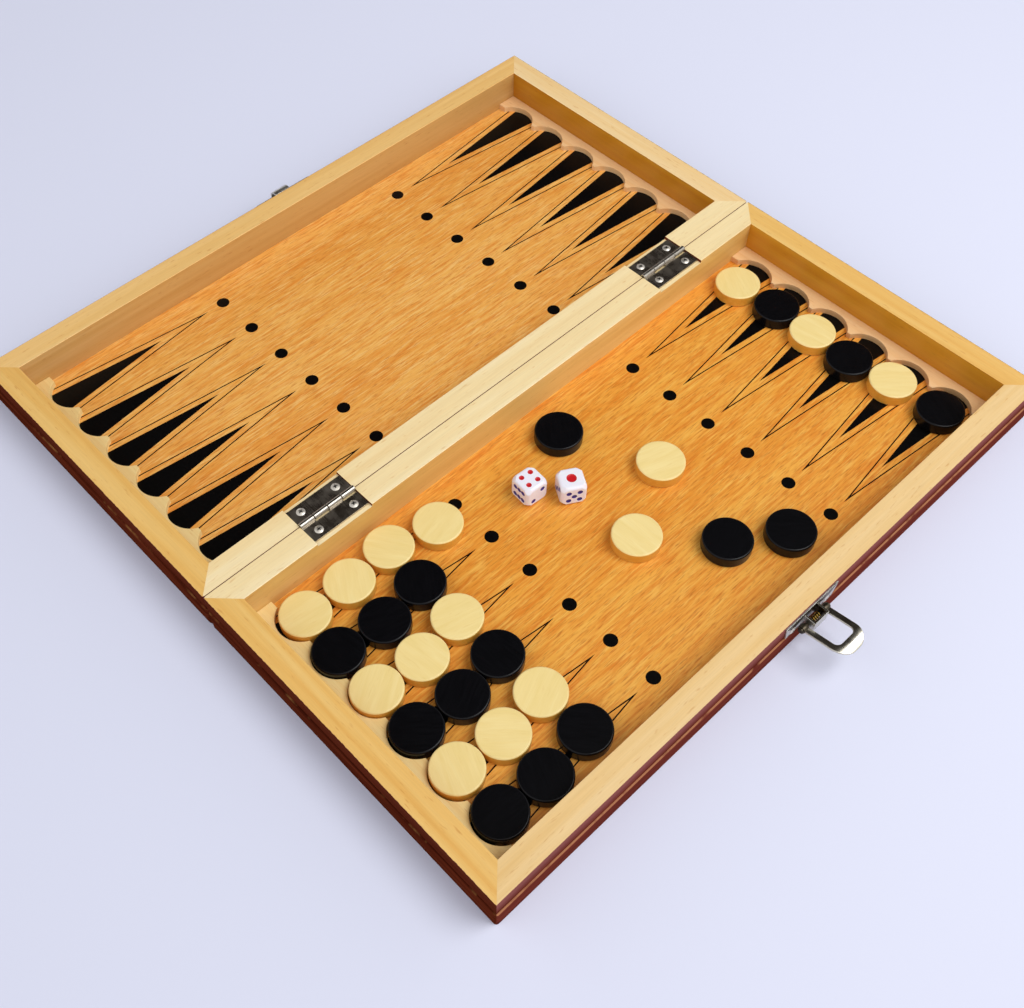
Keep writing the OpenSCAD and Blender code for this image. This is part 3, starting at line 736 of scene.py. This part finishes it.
def loopSheet():
    half, outer = loop["halfHole"], loop["halfHole"] + loop["arm"]
    hole, tip = loop["holeRadius"], loop["tipRadius"]
    reach, end = loop["reach"], loop["reach"] + loop["end"]
    start = loop["eye"] - loop["eyeLap"]
    outline = ([(start, half)] + arcPoints((reach - hole, half - hole), hole, 90, 0)
               + [(reach, 0), (end, 0)] + arcPoints((end - tip, outer - tip), tip, 0, 90)
               + [(start, outer)])
    mesh = bmesh.new()
    verts = [mesh.verts.new((x, y, -loop["sheet"] / 2)) for x, y in outline]
    flat = mesh.faces.new(verts)
    raised = bmesh.ops.extrude_face_region(mesh, geom=[flat])
    bmesh.ops.translate(mesh, vec=(0, 0, loop["sheet"]),
                        verts=[v for v in raised["geom"] if isinstance(v, bmesh.types.BMVert)])
    bmesh.ops.mirror(mesh, geom=mesh.verts[:] + mesh.edges[:] + mesh.faces[:], axis="Y",
                     merge_dist=1e-6)
    inside = [f for f in mesh.faces if all(abs(v.co.y) < 1e-7 for v in f.verts)]
    bmesh.ops.delete(mesh, geom=inside, context="FACES")
    bmesh.ops.remove_doubles(mesh, verts=mesh.verts, dist=1e-6)
    bmesh.ops.recalc_face_normals(mesh, faces=mesh.faces)
    softenEdges(mesh, loop["arris"], 3)
    bendFrom, steps = reach - loop["bendIn"], loop["bendSteps"]
    for i in range(1, steps):
        bmesh.ops.bisect_plane(mesh, geom=mesh.verts[:] + mesh.edges[:] + mesh.faces[:],
                               plane_co=(bendFrom + (end - bendFrom) * i / steps, 0, 0),
                               plane_no=(1, 0, 0))
    for vert in mesh.verts:
        if vert.co.x > bendFrom:
            lean = math.asin((vert.co.x - bendFrom) / loop["bendRadius"])
            radius = loop["bendRadius"] + vert.co.z
            vert.co.x = bendFrom + radius * math.sin(lean)
            vert.co.z = radius * math.cos(lean) - loop["bendRadius"]
    return mesh


def loopEye(y):
    r, bore, half, e = loop["eye"], loop["bore"], loop["arm"] / 2, loop["eyeArris"]
    mesh = lathe([(bore, -half), (r - e, -half), (r - e * 0.3, -half + e * 0.3), (r, -half + e),
                  (r, half - e), (r - e * 0.3, half - e * 0.3), (r - e, half), (bore, half),
                  (bore, -half)], 48)
    bmesh.ops.transform(mesh, verts=mesh.verts, matrix=Matrix.Translation((0, y, 0))
                        @ Matrix.Rotation(math.pi / 2, 4, "X"))
    return mesh


mesh = loopSheet()
for face in mesh.faces:
    face.material_index = 0
sheetFaces = len(mesh.faces)
for away in (-1, 1):
    joinInto(mesh, loopEye(away * (loop["halfHole"] + loop["arm"] / 2)))
mesh.faces.ensure_lookup_table()
# the eyes take the dark nickel: painted dark reflection
for face in mesh.faces[sheetFaces:]:
    face.material_index = 1
bmesh.ops.transform(mesh, verts=mesh.verts, matrix=Matrix.Translation(loop["pivot"])
                    @ Matrix.Rotation(-math.radians(loop["rise"]), 4, "Y"))
finishPiece(mesh, "latch_ring_plated", "latch_ring", [ringNickel, shadedNickel],
            ["latch_ring"])

# the pressed plates; the inside of the latch's bracket takes the dark nickel: painted shade

for node, body in (("latch_plate", "near_tray"), ("strike_plate", "far_tray")):
    mesh = mergedCopy(node)
    softenEdges(mesh, metalWork["plateArris"], 2)
    back, front, halfWidth = loop["bracketInside"]
    margin = 0.02 * mm
    side = trays["foldX"] + trays["side"]
    for face in mesh.faces:
        middle = face.calc_center_median()
        inBracket = (back - margin < middle.x - side < front + margin
                     and abs(middle.y - loop["pivot"][1]) < halfWidth + margin)
        face.material_index = int(node == "latch_plate" and inBracket)
    finishPiece(mesh, node + "_plated", body, [plateNickel, shadedNickel], [node])
# the pin takes the dark nickel: painted shade
paint("latch_pin", shadedNickel)
paint("latch_spring", springSteel)
print("hinges and latch made")

# checkers

checker = {
    "edge": 0.7 * mm,
    "steps": 96,
    "arc": 5,
    "grainTurn": (37, 71, 113),
    "grainMove": (0.031, 0.047, 0.019),
    "grainStart": 0.013,
    "pale": ("stack_1", "stack_3", "stack_5", "checker_right_1", "checker_right_3",
             "checker_right_5", "checker_loose_2", "checker_loose_3"),
}


def blackStain(name):
    # black-stained, lacquered basswood: nearly black, satin, with pores just showing
    material, tree = newMaterial(name)
    place = addNode(tree, "Attribute", attribute_name="grain").outputs["Vector"]
    longer = addNode(tree, "Mapping", {"Vector": place, "Scale": perMm(6, 0.4, 0.4)})
    grain = addNode(tree, "TexNoise", {"Vector": longer.outputs[0], "Scale": 1, "Detail": 3})
    tint = addNode(tree, "ValToRGB", {"Fac": grain.outputs["Fac"]},
                   stops=[(0.35, "#050507"), (0.7, "#0B0B0E")])
    bump = addNode(tree, "Bump", {"Height": grain.outputs["Fac"], "Strength": 0.25,
                                  "Distance": grainHeight})
    finishMaterial(tree, {"Base Color": tint.outputs["Color"], "Roughness": 0.27,
                          "Normal": bump.outputs[0], "Specular IOR Level": 0.2})
    return material


paleChecker = limewood("basswood_checker", ("#EED489", "#F1D890", "#F4DD98", "#DDB969"), "x",
                       grainAttribute="grain", roughness=0.46, flecks=0.25, figure=(2.6, 18),
                       fibres=0.02)
# the pale checkers' sides in a darker, more orange tone than their faces: painted shade
paleCheckerSideShade = limewood("basswood_checker_side_shade", ("#D9972F", "#DE9F38", "#E3A741", "#C27F22"),
                          "x", grainAttribute="grain", roughness=0.46, flecks=0.2,
                          figure=(1.5, 18), fibres=0.03)
blackChecker = blackStain("black_stained_basswood")


def checkerPiece(node, number):
    whole = bmesh.new()
    grain = whole.verts.layers.float_vector.new("grain")
    for count, (low, high) in enumerate(islandBoxes(node)):
        centre = (low + high) / 2
        r, half, edge = (high.x - low.x) / 2, (high.z - low.z) / 2, checker["edge"]
        turns = [math.pi / 2 * i / checker["arc"] for i in range(checker["arc"] + 1)]
        lower = [(r - edge + edge * math.sin(a), edge - edge * math.cos(a) - half)
                 for a in turns]
        upper = [(x, -z) for x, z in reversed(lower)]
        one = lathe([(0, -half)] + lower + upper + [(0, half)], checker["steps"])
        # each checker is turned and cut from its own place in the wood
        turn, turnNode, turnEach = checker["grainTurn"]
        yaw = math.radians(turn + turnNode * number + turnEach * count)
        alongX, alongY, alongZ = checker["grainMove"]
        away = Vector((alongX * number + checker["grainStart"], alongY * count, alongZ * number))
        for vert in joinInto(whole, one):
            vert[grain] = Matrix.Rotation(yaw, 3, "Z") @ vert.co + away
            vert.co += centre
    for face in whole.faces:
        face.material_index = int(abs(face.normal.z) < 0.3)  # the rim's sides take a darker orange tone: painted shade
    light = node in checker["pale"]
    finishPiece(whole, node + "_turned", node,
                [paleChecker, paleCheckerSideShade] if light else [blackChecker, blackChecker],
                [node], 50)


checkerNodes = [n for n in sorted(nodes) if n.startswith(("stack_", "checker_"))]
for number, node in enumerate(checkerNodes):
    checkerPiece(node, number)
print("checkers made:", len(checkerNodes))

# dice

die = {
    "size": 10 * mm,
    "edge": 1.3 * mm,
    "edgeSegments": 6,
    "ball": 7.1 * mm,
    "pipDepth": 0.35 * mm,
    "pip": 2.1 * mm,
    "pipOne": 3.9 * mm,
    "step": 2.12 * mm,
    "four": {"yaw": -4.3, "top": 4, "front": 6, "side": 2},
    "one": {"yaw": 59.5, "top": 1, "front": 5, "side": 4},
    "white": "#EEECF4",
    "red": "#C81420",
    "blue": "#2A2482",
}


def plastic(name, tone, roughness):
    # moulded urea plastic: glossy and slightly translucent
    material, tree = newMaterial(name)
    place = addNode(tree, "TexCoord").outputs["Object"]
    wave = addNode(tree, "TexNoise", {"Vector": place, "Scale": 1 / (3.03 * mm), "Detail": 2})
    bump = addNode(tree, "Bump", {"Height": wave.outputs["Fac"], "Strength": 0.1,
                                  "Distance": grainHeight})
    finishMaterial(tree, {"Base Color": linear(tone), "Roughness": roughness,
                          "Normal": bump.outputs[0], "Subsurface Weight": 0.1,
                          "Subsurface Scale": 0.002})
    return material


diePlastic = plastic("urea_white", die["white"], 0.22)
redPaint = plastic("pip_paint_red", die["red"], 0.35)
bluePaint = plastic("pip_paint_blue", die["blue"], 0.35)


def pipPlaces(number):
    corners = {2: ((-1, 1), (1, -1)), 4: ((-1, -1), (1, 1)), 6: ((0, -1), (0, 1))}
    places = [(0, 0)] if number % 2 else []
    for least, pair in corners.items():
        if number >= least:
            places += pair
    return places


def diePiece(node, spec):
    mesh = bmesh.new()
    bmesh.ops.create_cube(mesh, size=die["size"])
    bmesh.ops.bevel(mesh, geom=mesh.edges[:], offset=die["edge"], offset_type="OFFSET",
                    affect="EDGES", segments=die["edgeSegments"], profile=0.5, material=-1)
    ball = bmesh.new()
    bmesh.ops.create_uvsphere(ball, u_segments=64, v_segments=48, radius=die["ball"])
    mesh = carve(mesh, ball, "INTERSECT")
    top, front, side = spec["top"], spec["front"], spec["side"]
    faces = ((top, (0, 0, 0)), (7 - top, (180, 0, 0)), (front, (90, 0, 0)),
             (7 - front, (-90, 0, 0)), (side, (0, 90, 0)), (7 - side, (0, -90, 0)))
    pits, marks = bmesh.new(), []
    half, depth = die["size"] / 2, die["pipDepth"]
    for number, turn in faces:
        spin = Euler([math.radians(a) for a in turn]).to_matrix().to_4x4()
        r = (die["pipOne"] if number == 1 else die["pip"]) / 2
        for x, y in pipPlaces(number):
            bowl = lathe([(r * math.sin(a), -depth * math.cos(a))
                          for a in (math.pi / 2 * i / 5 for i in range(6))]
                         + [(r, 1 * mm), (0, 1 * mm)], 24)
            move = spin @ Matrix.Translation((die["step"] * x, die["step"] * y, half))
            bmesh.ops.transform(pits, matrix=move, verts=joinInto(pits, bowl))
            marks.append((move.to_translation(), (spin @ Vector((0, 0, 1, 0))).to_3d(), r,
                          1 if number in (1, 4) else 2))
    mesh = carve(mesh, pits)
    for face in mesh.faces:
        # the bowls of the pips take the paint
        middle = face.calc_center_median()
        face.material_index = 0
        for centre, outward, r, paintIndex in marks:
            offset = middle - centre
            below = -offset.dot(outward)
            if below > 0.015 * mm and (offset + outward * below).length < r \
                    and below < depth + 0.05 * mm:
                face.material_index = paintIndex
    low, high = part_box(node)
    bmesh.ops.transform(mesh, verts=mesh.verts, matrix=Matrix.Translation((low + high) / 2)
                        @ Matrix.Rotation(math.radians(spec["yaw"]), 4, "Z"))
    finishPiece(mesh, node + "_moulded", node,
                [diePlastic, redPaint, bluePaint], [node], 30)


diePiece("die_four", die["four"])
diePiece("die_one", die["one"])
print("dice made")

# floor, lights and surroundings

# the flag is dark from its second edge on: cosines of the angle from flagWay
studio = {
    "floor": "#DEE1F2",
    "floorSize": 6,
    "keyPlace": (0.49, 0.344, 1.04),
    "keySize": 0.82,
    "keyPower": 8,
    "air": "#F3F3F7",
    "flag": "#2A2522",
    "flagWay": (-0.406, 0.406, 0.819),
    "flagEdge": (0.66, 0.9),
    "background": "#EFEFF6",
}
floorMesh = bmesh.new()
bmesh.ops.create_grid(floorMesh, x_segments=1, y_segments=1, size=studio["floorSize"])
floorData = bpy.data.meshes.new("floor")
floorMesh.to_mesh(floorData)
floorMesh.free()
floor = bpy.data.objects.new("floor", floorData)
bpy.context.scene.collection.objects.link(floor)
floorPaper, tree = newMaterial("floor_paper")
finishMaterial(tree, {"Base Color": linear(studio["floor"]), "Roughness": 0.9,
                      "Specular IOR Level": 0.1})
floorData.materials.append(floorPaper)

keyData = bpy.data.lights.new("key", "AREA")
keyData.shape = "DISK"
keyData.size = studio["keySize"]
keyData.energy = studio["keyPower"]
key = bpy.data.objects.new("key", keyData)
key.location = studio["keyPlace"]
key.rotation_euler = Vector(studio["keyPlace"]).to_track_quat("Z", "Y").to_euler()
bpy.context.scene.collection.objects.link(key)

world = bpy.data.worlds.new("studio")
world.use_nodes = True
bpy.context.scene.world = world
tree = world.node_tree
tree.nodes.clear()
direction = addNode(tree, "TexCoord").outputs["Generated"]
# a dark flag hangs where glossy tops would mirror the room, so black stays black
towards = addNode(tree, "VectorMath", {0: direction, 1: studio["flagWay"]},
                  operation="DOT_PRODUCT")
flag = addNode(tree, "MapRange", {"Value": towards.outputs["Value"],
                                  "From Min": studio["flagEdge"][0],
                                  "From Max": studio["flagEdge"][1]},
               interpolation_type="SMOOTHSTEP")
room = addNode(tree, "Mix", {0: flag.outputs[0], 6: linear(studio["air"]),
                             7: linear(studio["flag"])}, data_type="RGBA")
seen = addNode(tree, "LightPath").outputs["Is Camera Ray"]
shown = addNode(tree, "Mix", {0: seen, 6: room.outputs[2],
                              7: linear(studio["background"])}, data_type="RGBA")
air = addNode(tree, "Background", {"Color": shown.outputs[2], "Strength": 1.0})
addNode(tree, "OutputWorld", {"Surface": air.outputs[0]})
print("floor and lights made")
